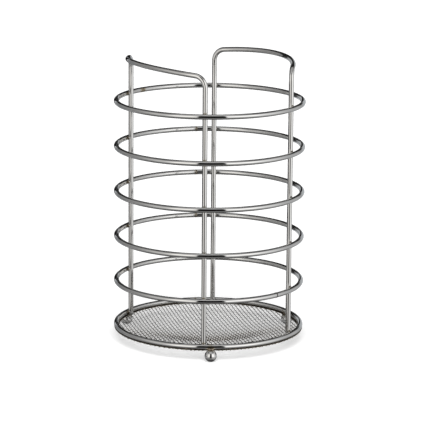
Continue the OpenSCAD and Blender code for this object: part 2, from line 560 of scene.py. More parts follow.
@dataclass(frozen=True)
class WeldMetal:
    """Metal of the welds: uneven, duller and browner than the wire.

    Args:
        name: name of the material.
        light: the colour of its brighter places.
        dark: the colour of its darker places.
    """

    name: str
    light: Colour = (0.46, 0.41, 0.33)
    dark: Colour = (0.13, 0.10, 0.08)

    def material(self) -> bpy.types.Material:
        """The material: mottled colour and a lumpy surface.

        Returns:
            A new material.
        """
        s = Shader(self.name)
        place = s.place()
        mottle = s.noise(scale=1100.0, detail=4.0, where=place)
        s.join(s.ramp(mottle, [(0.35, self.dark), (0.65, self.light)]), s.main.inputs["Base Color"])
        s.join(s.maths("ADD", s.maths("MULTIPLY", mottle, 0.25), 0.25), s.main.inputs["Roughness"])
        s.bump(s.noise(scale=2600.0, detail=3.0, where=place), strength=0.6, distance=8e-5)
        return s.material


# The holder


@dataclass(frozen=True)
class Sizes:
    """The holder's sizes, the same as those of its solids.

    Args:
        height: from the table to the top of the arches.
        diameter: over the rings.
        wire_radius: radius of the wire of rings and arches.
        arch_rise: from the top hoop up to the middle of a top bar.
        arch_span: angle round the axis between the legs of an arch.
        arch_turn: direction in which the right arch faces.
        bend_radius: radius of the bend over a leg.
        bar_inset: distance of the middle of a top bar inside the circle of the legs.
        bar_climb: angle at which the ends of a top bar climb.
        leg_tail: how far a leg reaches under the base ring's centre line.
        ball_radius: radius of a ball.
        ball_flat: depth of the flat under it.
        ball_out: distance of its middle outside the circle of the rings.
        weld_gap: gap between two wires that a weld joins.
        mesh_radius: radius of the floor over its rim.
        rim_width: width of that rim.
        dish_depth: depth of the floor's dish.
        hoops: number of hoops over the base ring.
    """

    height: float = 0.225
    diameter: float = 0.150
    wire_radius: float = 0.002
    arch_rise: float = 0.0328
    arch_span: float = np.radians(112)
    arch_turn: float = np.radians(29.5)
    bend_radius: float = 0.009
    bar_inset: float = 0.0075
    bar_climb: float = np.radians(5.2)
    leg_tail: float = 0.0015
    ball_radius: float = 0.00475
    ball_flat: float = 0.00025
    ball_out: float = 0.002
    weld_gap: float = 0.00005
    mesh_radius: float = 0.0748
    rim_width: float = 0.008
    dish_depth: float = 0.004
    hoops: int = 5

    @property
    def ring_radius(self) -> float:
        """Radius of the circle of the rings' centre lines."""
        return self.diameter / 2 - self.wire_radius

    @property
    def leg_radius(self) -> float:
        """Radius of the circle of the legs."""
        return self.ring_radius - 2 * self.wire_radius - self.weld_gap

    @property
    def ball_height(self) -> float:
        """Height of the middles of the balls."""
        return self.ball_radius - self.ball_flat

    @property
    def ball_circle(self) -> float:
        """Radius of the circle of the balls."""
        return self.ring_radius + self.ball_out

    @property
    def ball_reach(self) -> float:
        """Distance from the middle of a ball to the centre line of the base ring."""
        return self.ball_radius + self.weld_gap + self.wire_radius

    @property
    def base_height(self) -> float:
        """Height of the base ring."""
        return self.ball_height + float(np.sqrt(self.ball_reach**2 - self.ball_out**2))

    @property
    def bar_height(self) -> float:
        """Height of the middle of the top bars."""
        return self.height - self.wire_radius

    @property
    def rim_top(self) -> float:
        """Height of the top of the floor's rim."""
        return self.base_height - self.wire_radius - self.weld_gap

    @property
    def ring_heights(self) -> Array:
        """Heights of the base ring and the hoops, from the lowest."""
        top = self.bar_height - self.arch_rise
        return np.linspace(self.base_height, top, self.hoops + 1)

    @property
    def leg_turns(self) -> Array:
        """Directions of the legs: right, back, left and front."""
        half = self.arch_span / 2
        return self.arch_turn + np.array([-half, half, np.pi - half, np.pi + half])

    @property
    def ball_turns(self) -> Array:
        """Directions of the front, left and right balls."""
        return np.radians([270.0, 150.0, 30.0])

    @property
    def butt_turns(self) -> Array:
        """Directions of the welds that close the base ring and the hoops, from the lowest."""
        return np.radians([97.0, 314.0, 97.0, 97.0, 97.0, 137.0])


def on_circle(radius: float, turns: Array, height: float | Array) -> Array:
    """Places on an upright cylinder: (radius cos turn, radius sin turn, height)."""
    turns, height = np.broadcast_arrays(turns, height)
    return np.stack([radius * np.cos(turns), radius * np.sin(turns), height], -1)


def ring_node(index: int) -> str:
    """Name of a ring's node, counted from the base ring."""
    return f"hoop_{index}" if index else "base_ring"


def leg_welds(sizes: Sizes, height: float) -> Array:
    """Middles of the four welds between the legs and the ring at a height."""
    return on_circle(sizes.ring_radius - sizes.wire_radius, sizes.leg_turns, height)


@dataclass
class WireRings:
    """The five hoops and the base ring.

    Args:
        sizes: the holder's sizes.
        finish: the finish of the wire.
        stations: points along one ring.
        sides: points round the wire.
        leg_heat: reach of the heat from the weld of a leg.
        foot_heat: reach of the heat from the weld of a foot.
        foot_out: distance of that weld outside the circle of the centre line.
        butt_heats: reach of the heat from the weld that closes each ring, from the lowest.
    """

    sizes: Sizes
    finish: PolishedSteel
    stations: int = 288
    sides: int = 28
    leg_heat: float = 0.0021
    foot_heat: float = 0.0036
    foot_out: float = 0.001
    butt_heats: tuple[float, ...] = (0.0022, 0.0012, 0.0022, 0.0022, 0.0022, 0.0034)

    def surface(self, height: float) -> Surface:
        """A ring: its centre line is (R cos t, R sin t, height), t from 0 to 2 pi.

        Args:
            height: height of the ring.

        Returns:
            Its surface.
        """
        t = 2 * np.pi * np.arange(self.stations) / self.stations
        path = on_circle(self.sizes.ring_radius, t, height)[None]
        inward = -on_circle(1.0, t, 0.0)[None]
        return tubes(path, inward, np.broadcast_to(UP, path.shape), self.sizes.wire_radius, self.sides, True)

    def build(self) -> None:
        """Makes and dresses the six rings."""
        material = self.finish.material()
        s = self.sizes
        for index, height in enumerate(s.ring_heights):
            surface = self.surface(height)
            butt = on_circle(s.ring_radius, s.butt_turns[index : index + 1], height)
            heat = np.maximum(
                heat_near(surface.points, leg_welds(s, height), self.leg_heat),
                heat_near(surface.points, butt, self.butt_heats[index]),
            )
            if index == 0:
                feet = on_circle(s.ring_radius + self.foot_out, s.ball_turns, height - s.wire_radius)
                heat = np.maximum(heat, heat_near(surface.points, feet, self.foot_heat))
            node = ring_node(index)
            dress(make_mesh(f"{node}_wire", surface, {"heat_and_painted_shade": heat}), material, [node])


@dataclass
class WireArches:
    """The two bent wires: each two legs, two bends and a bowed and crowned top bar.

    Args:
        sizes: the holder's sizes.
        finish: the finish of the wire.
        leg_steps: stations along one leg.
        bend_steps: stations along one bend.
        bar_steps: stations along a top bar.
        sides: points round the wire.
        leg_heat: reach of the heat from the weld of a leg.
    """

    sizes: Sizes
    finish: PolishedSteel
    leg_steps: int = 70
    bend_steps: int = 16
    bar_steps: int = 56
    sides: int = 28
    leg_heat: float = 0.0021

    def half_path(self) -> tuple[Array, Array, Array]:
        """The path from the foot of the leg at -Y to the middle of the bar, with +X outwards.

        The leg rises at (leg_x, -leg_y). The bend is an arc in the upright plane whose heading is
        90 - beta, up to the climb of the bar's end, and goes forward by q = bend (1 - sin climb).
        In plan the bar is an arc of radius bar_r that ends with that heading, where
        tan(beta / 2) = bow / (leg_y + q). Its height is top - crown (t / beta)^2, with
        crown = tan(climb) bar_r beta / 2.

        Returns:
            (n, 3) places, (n,) headings and (n,) climbs.
        """
        s = self.sizes
        leg_x = s.leg_radius * np.cos(s.arch_span / 2)
        leg_y = s.leg_radius * np.sin(s.arch_span / 2)
        bow = s.leg_radius - leg_x - s.bar_inset
        q = s.bend_radius * (1 - np.sin(s.bar_climb))
        beta = 2 * np.arctan(bow / (leg_y + q))
        bar_r = (leg_y - q * np.cos(beta)) / np.sin(beta)
        centre_x = leg_x + q * np.sin(beta) - bar_r * np.cos(beta)
        crown = np.tan(s.bar_climb) * bar_r * beta / 2
        corner = s.bar_height - crown - s.bend_radius * np.cos(s.bar_climb)
        z = np.linspace(s.base_height - s.leg_tail, corner, self.leg_steps)
        leg = np.stack([np.full_like(z, leg_x), np.full_like(z, -leg_y), z], -1)
        swing = np.linspace(0, np.pi / 2 - s.bar_climb, self.bend_steps + 1)[1:]
        run = s.bend_radius * (1 - np.cos(swing))
        rise = corner + s.bend_radius * np.sin(swing)
        bend = np.stack([leg_x + run * np.sin(beta), -leg_y + run * np.cos(beta), rise], -1)
        t = np.linspace(-beta, 0, self.bar_steps // 2 + 1)[1:]
        top = s.bar_height - crown * (t / beta) ** 2
        bar = np.stack([centre_x + bar_r * np.cos(t), bar_r * np.sin(t), top], -1)
        heading = np.concatenate([np.full(len(leg) + len(bend), np.pi / 2 - beta), np.pi / 2 + t])
        bar_slope = -np.arctan(np.tan(s.bar_climb) * t / beta)
        climb = np.concatenate([np.full(len(leg), np.pi / 2), np.pi / 2 - swing, bar_slope])
        return np.concatenate([leg, bend, bar]), heading, climb

    def surface(self, turn: float) -> Surface:
        """One arch: the half path and its mirror image, carried round.

        Args:
            turn: direction in which it faces.

        Returns:
            Its surface.
        """
        half, heading, climb = self.half_path()
        path = np.concatenate([half, half[-2::-1] * [1, -1, 1]])
        heading = np.concatenate([heading, np.pi - heading[-2::-1]]) + turn
        climb = np.concatenate([climb, -climb[-2::-1]])
        c, s = np.cos(turn), np.sin(turn)
        path = path @ np.array([[c, s, 0], [-s, c, 0], [0, 0, 1]])
        side = np.stack([-np.sin(heading), np.cos(heading), 0 * heading], -1)
        over = np.stack([
            -np.sin(climb) * np.cos(heading), -np.sin(climb) * np.sin(heading), np.cos(climb),
        ], -1)
        return tubes(path[None], side[None], over[None], self.sizes.wire_radius, self.sides, False)

    def build(self) -> None:
        """Makes and dresses the two arches."""
        material = self.finish.material()
        welds = np.concatenate([leg_welds(self.sizes, h) for h in self.sizes.ring_heights])
        for node, turn in (("right_arch", 0.0), ("left_arch", np.pi)):
            surface = self.surface(self.sizes.arch_turn + turn)
            heat = heat_near(surface.points, welds, self.leg_heat)
            made = make_mesh(f"{node}_wire", surface, {"heat_and_painted_shade": heat})
            dress(made, material, [node])


@dataclass
class WovenFloor:
    """The floor: a plain weave in a shallow dish, with a pressed rim under the base ring.

    Args:
        sizes: the holder's sizes.
        finishes: the finish of each family of wires.
        rim_finish: the finish of the pressed rim.
        pitch: distance from one wire to the next.
        warp_radius: radius of the wires that run from back to front.
        weft_radius: radius of the wires that cross them.
        turn: turn of the weave, anticlockwise.
        lowering: depth of the middle of the weave under the underside of the base ring.
        warp_wave: rise and fall of the wires that run from back to front.
        weft_wave: rise and fall of the wires that cross them.
        crest: place of the middle of the ridge that the weave makes near its front.
        ridge: height of that ridge over the bowl.
        ridge_run: length of its slow climb from behind.
        ridge_fall: width of its fall to the rim.
        notch: radius of the round notch at each ball.
        samples: stations along one wire.
        sides: points round a wire.
        foot_heat: reach of the heat from a ball.
        rim_heat: heat along the rim.
        rim_band: width over which it fades, inside the centre line of the base ring.
        rim_inner: distance of the rim's inner edge inside that centre line.
        rim_levels: how far its lower and upper face lie under the top of the solid's rim.
        rim_wave: half the depth of the waves of its outer edge.
        rim_steps: points along the rim.
    """

    sizes: Sizes
    finishes: dict[Weave, WovenSteel]
    rim_finish: WeldMetal
    pitch: float = 0.003
    warp_radius: float = 0.0003
    weft_radius: float = 0.00018
    turn: float = np.radians(13)
    lowering: float = 0.0006
    warp_wave: float = 0.00003
    weft_wave: float = 0.00015
    crest: float = -0.045
    ridge: float = 0.0017
    ridge_run: float = 0.048
    ridge_fall: float = 0.024
    notch: float = 0.0036
    samples: int = 200
    sides: int = 6
    foot_heat: float = 0.006
    rim_heat: float = 0.62
    rim_band: float = 0.004
    rim_inner: float = 0.0022
    rim_levels: tuple[float, float] = (0.00045, 0.00005)
    rim_wave: float = 0.0001
    rim_steps: int = 1440

    def lead(self, points: Array) -> Array:
        """How far places lie in front of the crest, y = crest + 0.13 x + 5 x^2 per metre."""
        x, y = points[..., 0], points[..., 1]
        return self.crest + 0.13 * x + 5 * x**2 - y

    def level(self, points: Array) -> Array:
        """Height of the middle of the weave, a bowl with a ridge across its front.

        The bowl is rim - lowering - depth x (1 - (away / lip)^2). The ridge climbs as
        (1 + lead / run)^1.3 up to its crest, and falls as a smooth step of the way to the lip.

        Args:
            points: (..., 3) places, whose heights don't count.

        Returns:
            (...) heights.
        """
        s = self.sizes
        away = np.hypot(points[..., 0], points[..., 1])
        lip = s.mesh_radius - s.rim_width
        bowl = s.dish_depth * np.maximum(1 - (away / lip) ** 2, 0)
        lead = self.lead(points)
        climb = np.clip(1 + lead / self.ridge_run, 0, 1) ** 1.3
        fall = smooth_step((lip - away) / self.ridge_fall)
        return s.rim_top - self.lowering - bowl + self.ridge * climb * fall

    def runs(self, offsets: Array, axis: float) -> Array:
        """The stretches of each wire that lie in the disc and clear of the notches.

        Args:
            offsets: distances of the wires from the middle, to the left of their heading.
            axis: heading of the wires.

        Returns:
            (r, 3) offset, start and end of each stretch.
        """
        reach = self.sizes.mesh_radius - self.warp_radius
        balls = on_circle(self.sizes.ball_circle, self.sizes.ball_turns - axis, 0.0)
        found = []
        for offset in offsets:
            half = np.sqrt(reach**2 - offset**2)
            pieces = [(-half, half)]
            for x, y, _ in balls:
                cut = self.notch**2 - (y - offset) ** 2
                if cut > 0:
                    low, high = x - np.sqrt(cut), x + np.sqrt(cut)
                    pieces = [p for a, b in pieces for p in ((a, min(b, low)), (max(a, high), b))]
            found += [(offset, a, b) for a, b in pieces if b - a > 2 * self.pitch]
        return np.array(found)

    def wires(self, weave: Weave) -> Surface:
        """One family of wires: height = level + side x wave x sin(pi s / pitch) x (-1)^i.

        s is the distance along wire i, so it is highest and lowest where it crosses the others.

        Args:
            weave: which family.

        Returns:
            Its surface.
        """
        axis = self.turn + (np.pi / 2 if weave is Weave.WARP else 0.0)
        count = int(self.sizes.mesh_radius / self.pitch)
        offsets = (np.arange(-count, count) + 0.5) * self.pitch
        kept = np.abs(offsets) < self.sizes.mesh_radius - 2 * self.warp_radius
        runs = self.runs(offsets[kept], axis)
        index = np.round(runs[:, 0] / self.pitch - 0.5).astype(int)
        s = runs[:, 1:2] + (runs[:, 2:3] - runs[:, 1:2]) * np.linspace(0, 1, self.samples)
        along = np.array([np.cos(axis), np.sin(axis), 0.0])
        left = np.array([-np.sin(axis), np.cos(axis), 0.0])
        path = s[..., None] * along + runs[:, 0, None, None] * left
        # counting to the left of the warp runs against the weft's own count
        swap = np.where(index % 2, -1, 1) * weave.value
        wave = swap[:, None] * np.sin(np.pi * s / self.pitch)
        straight = weave is Weave.WARP
        height = self.warp_wave if straight else self.weft_wave
        radius = self.warp_radius if straight else self.weft_radius
        path[..., 2] = self.level(path) + height * wave
        ahead = np.gradient(path, axis=1)
        ahead /= np.linalg.norm(ahead, axis=-1, keepdims=True)
        side = np.broadcast_to(left, path.shape)
        over = np.cross(ahead, side)
        return tubes(path, side, over, radius, self.sides, False)

    def rim(self) -> Surface:
        """The pressed rim: a flat strip whose outer edge waves with the cut ends of the wires.

        Its outer radius is R - wave (1 + sin(n t)) for n waves, or the edge of a notch.

        Returns:
            Its surface.
        """
        s = self.sizes
        t = 2 * np.pi * np.arange(self.rim_steps) / self.rim_steps
        waves = round(2 * np.pi * s.mesh_radius / self.pitch)
        outer = s.mesh_radius - self.rim_wave * (1 + np.sin(waves * t))
        for turn in s.ball_turns:
            across = s.ball_circle * np.sin(t - turn)
            near = (np.abs(across) < self.notch) & (np.cos(t - turn) > 0)
            edge = s.ball_circle * np.cos(t - turn) - np.sqrt(np.maximum(self.notch**2 - across**2, 0))
            outer = np.where(near, np.minimum(outer, edge), outer)
        inner = np.full_like(t, s.ring_radius - self.rim_inner)
        low, high = s.rim_top - np.array(self.rim_levels)
        corners = [(inner, low), (outer, low), (outer, high), (inner, high)]
        points = np.stack([on_circle(r, t, z) for r, z in corners], 1)
        quads, where = grid_quads(1, self.rim_steps, 4, True)
        return Surface(points.reshape(-1, 3), quads[:, ::-1], where[:, ::-1] * 1e-3)

    def heat(self, points: Array) -> Array:
        """Heat of the floor and painted shade: the greatest of the heat that the balls and the rim leave and
        of the painted shade over the front.

        The rim's is rim_heat x a smooth step over the rim_band. The front's is painted shade, not heat:
        darker towards the front and in a band behind the crest, 0.32 x forward + 0.68 x sides x near: forward
        steps up from y = 12 to -28 mm, and near from 30 to 12 mm behind the crest. sides is 0.42 in the
        middle, x = 8 mm, steps up to 1 over the 25 mm on either side of it, and is halved by a step from x =
        32 to 47 mm.

        Args:
            points: (n, 3) places.

        Returns:
            (n,) heat and painted shade, from 0 to 1.
        """
        s = self.sizes
        feet = on_circle(s.ring_radius, s.ball_turns, s.rim_top)
        inside = s.ring_radius - np.linalg.norm(points[:, :2], axis=-1)
        rim = self.rim_heat * smooth_step(1 - inside / self.rim_band)
        # painted shade over the front of the floor, darker towards the front and in a band behind the crest,
        # stored in the same number as the weld heat
        lead = self.lead(points)
        sides = 0.42 + 0.58 * smooth_step(np.abs(points[:, 0] - 0.008) / 0.025)
        sides *= 1 - 0.5 * smooth_step((points[:, 0] - 0.032) / 0.015)
        near = smooth_step((lead + 0.030) / 0.018)
        forward = smooth_step((0.012 - points[:, 1]) / 0.040)
        front = 0.32 * forward + 0.68 * sides * near
        return np.maximum(np.maximum(heat_near(points, feet, self.foot_heat), rim), front)

    def build(self) -> None:
        """Makes and dresses the two families of wires and the rim."""
        for weave in Weave:
            surface = self.wires(weave)
            # the stored number holds the weld heat and the painted shade over the front
            heat = {"heat_and_painted_shade": self.heat(surface.points)}
            made = make_mesh(f"floor_{weave.name.lower()}", surface, heat)
            dress(made, self.finishes[weave].material(), ["mesh_floor"])
        made = make_mesh("floor_rim", self.rim(), {})
        made.data.polygons.foreach_set("use_smooth", np.zeros(len(made.data.polygons), bool))
        dress(made, self.rim_finish.material(), ["mesh_floor"])


@dataclass
class BallFeet:
    """The three balls that the holder stands on.

    Args:
        sizes: the holder's sizes.
        finish: the finish of the balls.
        rounds: rounds of points between the poles.
        columns: points in one round.
        heat: reach of the heat from the weld on top.
        heat_inset: distance of that weld's middle inside the circle of the balls.
    """

    sizes: Sizes
    finish: PolishedSteel
    rounds: int = 47
    columns: int = 64
    heat: float = 0.0026
    heat_inset: float = 0.0004

    def surface(self, turn: float) -> Surface:
        """A ball: middle + radius (cos u cos v, cos u sin v, sin u), flattened where it stands.

        Args:
            turn: its direction from the axis.

        Returns:
            Its surface.
        """
        s = self.sizes
        middle = on_circle(s.ball_circle, np.array(turn), s.ball_height)
        shape, poles = (middle + s.ball_radius * part for part in ball(self.rounds, self.columns))
        shape[..., 2] = np.maximum(shape[..., 2], 0)
        poles[:, 2] = np.maximum(poles[:, 2], 0)
        return globes(shape[None], poles[None])

    def build(self) -> None:
        """Makes and dresses the balls."""
        material = self.finish.material()
        s = self.sizes
        for name, turn in zip(("front", "left", "right"), s.ball_turns):
            surface = self.surface(turn)
            top = on_circle(s.ball_circle - self.heat_inset, np.array([turn]), 2 * s.ball_radius)
            heat = heat_near(surface.points, top, self.heat)
            made = make_mesh(f"{name}_ball", surface, {"heat_and_painted_shade": heat})
            dress(made, material, [f"foot_{name}"])


@dataclass
class Welds:
    """The metal of the welds: beads at the crossings, and collars over the balls.

    Args:
        sizes: the holder's sizes.
        finish: the finish of the weld metal.
        burnt: the finish of the weld that closes the lowest hoop.
        rounds: rounds of points between the poles of a bead.
        columns: points in one round.
        leg_bead: half sizes of a leg's weld, outwards, round the holder and up.
        floor_bead: those of a weld of the floor.
        floor_count: number of welds of the floor.
        butt_rounds: rounds of points along the weld that closes a ring.
        butt_sides: points in one of those rounds.
        butt_half: half its length.
        butt_swell: how far it stands out of the wire.
        butt_pinch: how far its ends draw in.
        collar_rounds: rounds of points between the poles of a ball's collar.
        collar_columns: points in one of those rounds.
        collar_low: distance from a ball's middle at which its collar starts.
        collar_over: how far the collar reaches past the nearest point of the ring.
        collar_wide: half its width at its foot, and what is added up to its top.
        collar_skin: how far it stands out of the ball.
        collar_neck: half its depth above the ball.
    """

    sizes: Sizes
    finish: WeldMetal
    burnt: WeldMetal
    rounds: int = 9
    columns: int = 16
    leg_bead: tuple[float, float, float] = (0.0006, 0.0014, 0.0014)
    floor_bead: tuple[float, float, float] = (0.0011, 0.0012, 0.00035)
    floor_count: int = 12
    butt_rounds: int = 9
    butt_sides: int = 24
    butt_half: float = 0.0006
    butt_swell: float = 0.00012
    butt_pinch: float = 0.0001
    collar_rounds: int = 18
    collar_columns: int = 32
    collar_low: float = 0.0026
    collar_over: float = 0.0009
    collar_wide: tuple[float, float] = (0.0018, 0.0019)
    collar_skin: float = 0.00025
    collar_neck: float = 0.0021

    def beads(self, middles: Array, turns: Array, half: tuple[float, float, float]) -> Surface:
        """Small lumps: middle + (1 + ripple) (a cos u cos v, b cos u sin v, c sin u).

        The first direction points away from the holder's axis, the second round it and the third
        up, and the ripple is 0.08 sin(3 v + 2 k) cos(2 u) for lump k.

        Args:
            middles: (k, 3) middles of the lumps.
            turns: (k,) their directions from the axis.
            half: half sizes a, b and c.

        Returns:
            Their surface.
        """
        u, v = angles(self.rounds, self.columns)
        unit, poles = ball(self.rounds, self.columns)
        k = np.arange(len(turns))[:, None, None]
        ripple = 1 + 0.08 * np.sin(3 * v + 2 * k) * np.cos(2 * u)
        out, across = on_circle(1.0, turns, 0.0), on_circle(1.0, turns + np.pi / 2, 0.0)
        axes = np.stack([half[0] * out, half[1] * across, half[2] * np.broadcast_to(UP, out.shape)], 1)
        shape = middles[:, None, None] + ripple[..., None] * (unit @ axes[:, None])
        return globes(shape, middles[:, None] + poles @ axes)

    def butt(self, height: float, turn: float) -> Surface:
        """The bead that closes a ring: a short tube whose radius swells over the wire.

        Its radius is r + swell cos(pi s / (2 h)) - pinch (s / h)^4, s from -h to h along it.

        Args:
            height: height of the ring.
            turn: direction of the bead from the axis.

        Returns:
            Its surface.
        """
        s = self.sizes
        part = np.linspace(-1, 1, self.butt_rounds)
        t = turn + part * self.butt_half / s.ring_radius
        swell = self.butt_swell * np.cos(np.pi * part / 2) - self.butt_pinch * part**4
        centre = on_circle(s.ring_radius, t, height)
        a = 2 * np.pi * np.arange(self.butt_sides) / self.butt_sides
        inward = -on_circle(1.0, t, 0.0)
        ring = np.cos(a)[:, None] * inward[:, None] + np.sin(a)[:, None] * UP
        shape = centre[:, None] + (s.wire_radius + swell)[:, None, None] * ring
        return globes(shape[None], centre[None, [0, -1]])

    def collars(self) -> Surface:
        """The welds over the balls: each runs down the ball and widens up to the base ring.

        Along the line from the ball to the ring the height is low + (high - low) (1 + sin u) / 2.
        The half depth follows the ball, sqrt(R^2 - height^2) + skin, and is the neck above it.
        The half width grows from its foot as (1 + sin u) / 2 to the power 1.3. Both are times the
        fourth root of cos u and a little ripple round the collar.

        Returns:
            Their surface.
        """
        s = self.sizes
        low, high = self.collar_low, s.ball_radius + s.weld_gap + self.collar_over
        foot, growth = self.collar_wide
        lean = np.arcsin(s.ball_out / s.ball_reach)
        u, v = angles(self.collar_rounds, self.collar_columns)
        climb = (1 + np.sin(u)) / 2
        level = low + (high - low) * climb + 0 * v
        wide = (foot + growth * climb**1.3) * (1 + 0.06 * np.sin(3 * v + 1))
        edge = np.sqrt(np.maximum(s.ball_radius**2 - level**2, 0))
        deep = np.maximum(edge + self.collar_skin, self.collar_neck) * (1 + 0.03 * np.sin(2 * v))
        body = np.sqrt(np.sqrt(np.cos(u)))
        shapes, poles = [], []
        for turn in s.ball_turns:
            middle = on_circle(s.ball_circle, np.array(turn), s.ball_height)
            out = on_circle(1.0, np.array(turn), 0.0)
            along = on_circle(1.0, np.array(turn + np.pi / 2), 0.0)
            up = -np.sin(lean) * out + np.cos(lean) * UP
            across = np.cos(lean) * out + np.sin(lean) * UP
            shapes.append(
                middle + level[..., None] * up
                + (body * deep * np.cos(v))[..., None] * across
                + (body * wide * np.sin(v))[..., None] * along
            )
            poles.append(middle + np.array([[low], [high]]) * up)
        return globes(np.array(shapes), np.array(poles))

    def build(self) -> None:
        """Makes and dresses the welds of each ring, of the balls and of the floor."""
        material = self.finish.material()
        s = self.sizes
        for index, height in enumerate(s.ring_heights):
            node = f"{ring_node(index)}_welds"
            spots = self.beads(leg_welds(s, height), s.leg_turns, self.leg_bead)
            butt = self.butt(height, s.butt_turns[index])
            if index == 1:
                dress(make_mesh(f"{node}_notch", butt, {}), self.burnt.material(), [node])
            else:
                spots = spots.joined(butt)
            dress(make_mesh(f"{node}_metal", spots, {}), material, [node])
        dress(make_mesh("foot_welds_metal", self.collars(), {}), material, ["foot_welds"])
        turns = s.ball_turns[0] + (np.arange(self.floor_count) + 0.5) * 2 * np.pi / self.floor_count
        middles = on_circle(s.ring_radius, turns, s.rim_top)
        spots = self.beads(middles, turns, self.floor_bead)
        dress(make_mesh("mesh_welds_metal", spots, {}), material, ["mesh_welds"])


# The studio


@dataclass(frozen=True)
class Panel:
    """A bright or dark panel of the light tent, seen from the holder.

    Args:
        turn: direction of its middle, in degrees to the right of the camera.
        half_width: half its width, in degrees.
        rise: height of its middle above the horizon, in degrees.
        half_height: half its height, in degrees.
        level: its brightness, where 1 is white.
        edge: width over which its sides fade into what is round it, in degrees.
        fade: height over which its top and bottom fade, in degrees.
        warmth: its tint, from -1 for bluish to 1 for yellowish.
    """

    turn: float
    half_width: float
    rise: float
    half_height: float
    level: float
    edge: float = 8.0
    fade: float = 12.0
    warmth: float = 0.0

    def weight(self, turn: Array, rise: Array) -> Array:
        """Share of the panel at a direction: 1 inside, 0 outside, smooth over its edges.

        Args:
            turn: directions, in degrees to the right of the camera.
            rise: their heights above the horizon, in degrees.

        Returns:
            The shares.
        """
        sideways = np.abs((turn - self.turn + 180) % 360 - 180)
        upward = np.abs(rise - self.rise)
        wide = smooth_step((self.half_width + self.edge / 2 - sideways) / self.edge)
        return wide * smooth_step((self.half_height + self.fade / 2 - upward) / self.fade)


def sheet(name: str, corners: list[list[float]]) -> bpy.types.Object:
    """A flat sheet of the studio.

    Args:
        name: its name.
        corners: its four corners, anticlockwise seen from its front.

    Returns:
        The new object.
    """
    return make_mesh(name, Surface(np.array(corners), np.arange(4)[None], np.zeros((1, 4, 2))), {})


def plain_tree(made: bpy.types.Object) -> Tree:
    """Gives a piece of the studio a material of its own name, without a shader as yet.

    Args:
        made: the piece.

    Returns:
        The material's tree.
    """
    material = bpy.data.materials.new(made.name)
    made.data.materials.append(material)
    tree = Tree(material)
    tree.nodes.remove(tree.nodes["Principled BSDF"])
    return tree


def only_reflected(made: bpy.types.Object) -> None:
    """Hides a piece of the studio from all but the reflections in the metal."""
    made.visible_camera = made.visible_diffuse = made.visible_shadow = False
    made.visible_transmission = made.visible_volume_scatter = False


